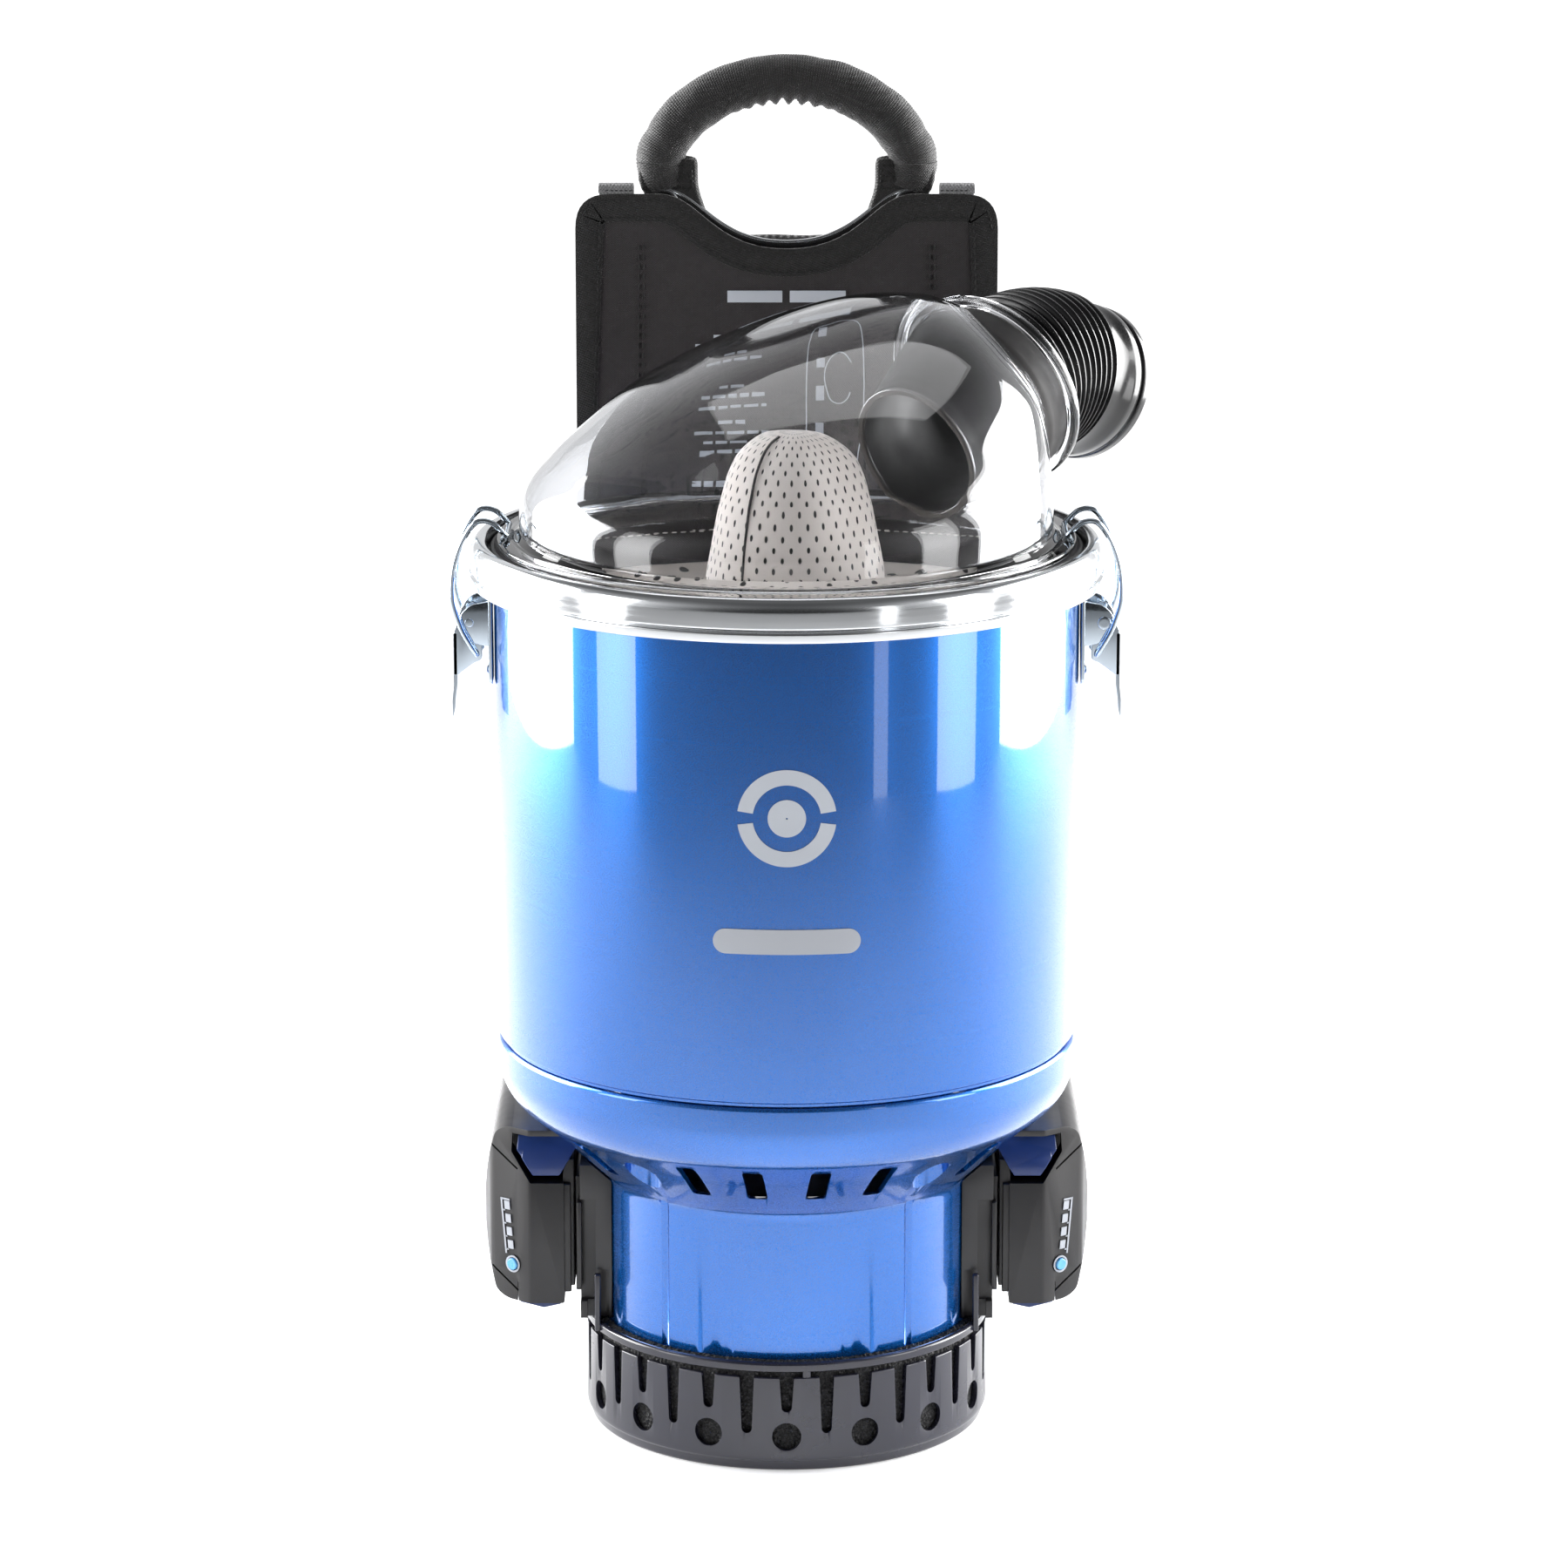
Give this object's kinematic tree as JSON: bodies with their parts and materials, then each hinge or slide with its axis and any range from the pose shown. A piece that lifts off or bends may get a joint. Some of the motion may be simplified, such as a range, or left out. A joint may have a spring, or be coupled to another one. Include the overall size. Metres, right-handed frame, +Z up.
{
  "type": "backpack vacuum cleaner",
  "caption": "Cordless backpack vacuum: round canister with clear latched lid, side battery packs, corrugated inlet and padded harness.",
  "frame": {"origin": "centre of the base under the canister, on the canister axis", "axes": "+Z up along the canister axis, -Y the front of the machine, +Y towards the wearer"},
  "size_m": [0.3146, 0.3483, 0.6006],
  "materials": {
    "paint_blue": "gloss",
    "steel": "polished",
    "black_gloss": "gloss",
    "slate": "satin",
    "charcoal": "satin",
    "navy": "satin",
    "print": "satin",
    "sky_blue": "gloss",
    "foam": "open cell foam",
    "rubber": "matt",
    "bag_cloth": "perforated cloth",
    "dark_cloth": "ballistic nylon",
    "webbing": "ribbed webbing",
    "grey_webbing": "woven webbing",
    "clear": "clear polycarbonate"
  },
  "bodies": {
    "shell": {"exhaust_guard": "slate", "exhaust_foam": "foam", "motor_housing": "paint_blue", "motor_can": "steel", "motor_mount": "rubber", "motor_seal": "rubber", "intake_grille": "charcoal", "canister": "paint_blue", "rim_band": "steel", "lid_seal": "rubber", "bag_collar": "dark_cloth", "filter_bag": "bag_cloth", "bag_cage": "charcoal", "dome_lid": "clear", "inlet_sleeve": "black_gloss", "inlet_hose": "black_gloss", "switch_bezel": "black_gloss", "bracket_upper": "charcoal", "bracket_lower": "charcoal", "harness_frame": "steel", "harness_cover": "dark_cloth", "back_pad": "dark_cloth", "carry_handle": "webbing", "lumbar_pad": "dark_cloth", "waist_belt": "webbing", "belt_buckle": "black_gloss", "housing_screw_1": "steel", "housing_screw_2": "steel", "housing_screw_3": "steel", "housing_screw_4": "steel", "latch_base_left": "steel", "latch_pin_left": "steel", "battery_dock_left": "charcoal", "webbing_loop_left": "grey_webbing", "shoulder_strap_left": "dark_cloth", "latch_base_right": "steel", "latch_pin_right": "steel", "battery_dock_right": "charcoal", "webbing_loop_right": "grey_webbing", "shoulder_strap_right": "dark_cloth"},
    "hose_cuff": {"hose_cuff": "black_gloss"},
    "rotor": {"motor_shaft": "steel", "fan_impeller": "steel"},
    "power_rocker": {"power_rocker": "black_gloss"},
    "latch_lever_right": {"latch_lever_right": "steel"},
    "latch_bail_right": {"latch_bail_right": "steel"},
    "battery_right": {"battery_case_right": "charcoal", "gauge_panel_right": "print"},
    "release_top_right": {"release_top_right": "navy"},
    "release_bottom_right": {"release_bottom_right": "navy"},
    "gauge_button_right": {"gauge_button_right": "sky_blue"},
    "latch_lever_left": {"latch_lever_left": "steel"},
    "latch_bail_left": {"latch_bail_left": "steel"},
    "battery_left": {"battery_case_left": "charcoal", "gauge_panel_left": "print"},
    "release_top_left": {"release_top_left": "navy"},
    "release_bottom_left": {"release_bottom_left": "navy"},
    "gauge_button_left": {"gauge_button_left": "sky_blue"}
  },
  "joints": [
    {"name": "cuff_swivel", "type": "hinge", "parent": "shell", "child": "hose_cuff", "pos_m": [0.12041, 0.08915, 0.46399], "axis": [0.5963, 0.7443, -0.3007], "continuous": true},
    {"name": "rotor_spin", "type": "hinge", "parent": "shell", "child": "rotor", "pos_m": [0, 0, 0.13], "axis": [0, 0, 1], "continuous": true},
    {"name": "power_rocker", "type": "hinge", "parent": "shell", "child": "power_rocker", "pos_m": [0, 0.09, 0.086], "axis": [1, 0, 0], "range_deg": [0, 14]},
    {"name": "latch_lever_right", "type": "hinge", "parent": "shell", "child": "latch_lever_right", "pos_m": [0.1406, 0, 0.369], "axis": [0, -1, 0], "range_deg": [0, 120]},
    {"name": "latch_bail_right", "type": "hinge", "parent": "latch_lever_right", "child": "latch_bail_right", "pos_m": [0.1375, 0, 0.355], "axis": [0, -1, 0], "range_deg": [-150, 0]},
    {"name": "battery_slide_right", "type": "slide", "parent": "shell", "child": "battery_right", "axis": [0, -1, 0], "range_m": [0, 0.09]},
    {"name": "release_top_right", "type": "slide", "parent": "battery_right", "child": "release_top_right", "axis": [0, 0, -1], "range_m": [0, 0.003], "stiffness_N_per_m": 600, "springref_m": -0.002},
    {"name": "release_bottom_right", "type": "slide", "parent": "battery_right", "child": "release_bottom_right", "axis": [0, 0, 1], "range_m": [0, 0.003], "stiffness_N_per_m": 600, "springref_m": -0.002},
    {"name": "gauge_button_right", "type": "slide", "parent": "battery_right", "child": "gauge_button_right", "axis": [-0.5855, 0.8107, 0], "range_m": [0, 0.0008], "stiffness_N_per_m": 300, "springref_m": -0.001},
    {"name": "latch_lever_left", "type": "hinge", "parent": "shell", "child": "latch_lever_left", "pos_m": [-0.1406, 0, 0.369], "axis": [0, 1, 0], "range_deg": [0, 120]},
    {"name": "latch_bail_left", "type": "hinge", "parent": "latch_lever_left", "child": "latch_bail_left", "pos_m": [-0.1375, 0, 0.355], "axis": [0, 1, 0], "range_deg": [-150, 0]},
    {"name": "battery_slide_left", "type": "slide", "parent": "shell", "child": "battery_left", "axis": [0, -1, 0], "range_m": [0, 0.09]},
    {"name": "release_top_left", "type": "slide", "parent": "battery_left", "child": "release_top_left", "axis": [0, 0, -1], "range_m": [0, 0.003], "stiffness_N_per_m": 600, "springref_m": -0.002},
    {"name": "release_bottom_left", "type": "slide", "parent": "battery_left", "child": "release_bottom_left", "axis": [0, 0, 1], "range_m": [0, 0.003], "stiffness_N_per_m": 600, "springref_m": -0.002},
    {"name": "gauge_button_left", "type": "slide", "parent": "battery_left", "child": "gauge_button_left", "axis": [0.5855, 0.8107, 0], "range_m": [0, 0.0008], "stiffness_N_per_m": 300, "springref_m": -0.001}
  ],
  "couplings": [
    {"joint": "latch_bail_right", "follows": "latch_lever_right", "ratio": -1.25},
    {"joint": "latch_bail_left", "follows": "latch_lever_left", "ratio": -1.25}
  ]
}
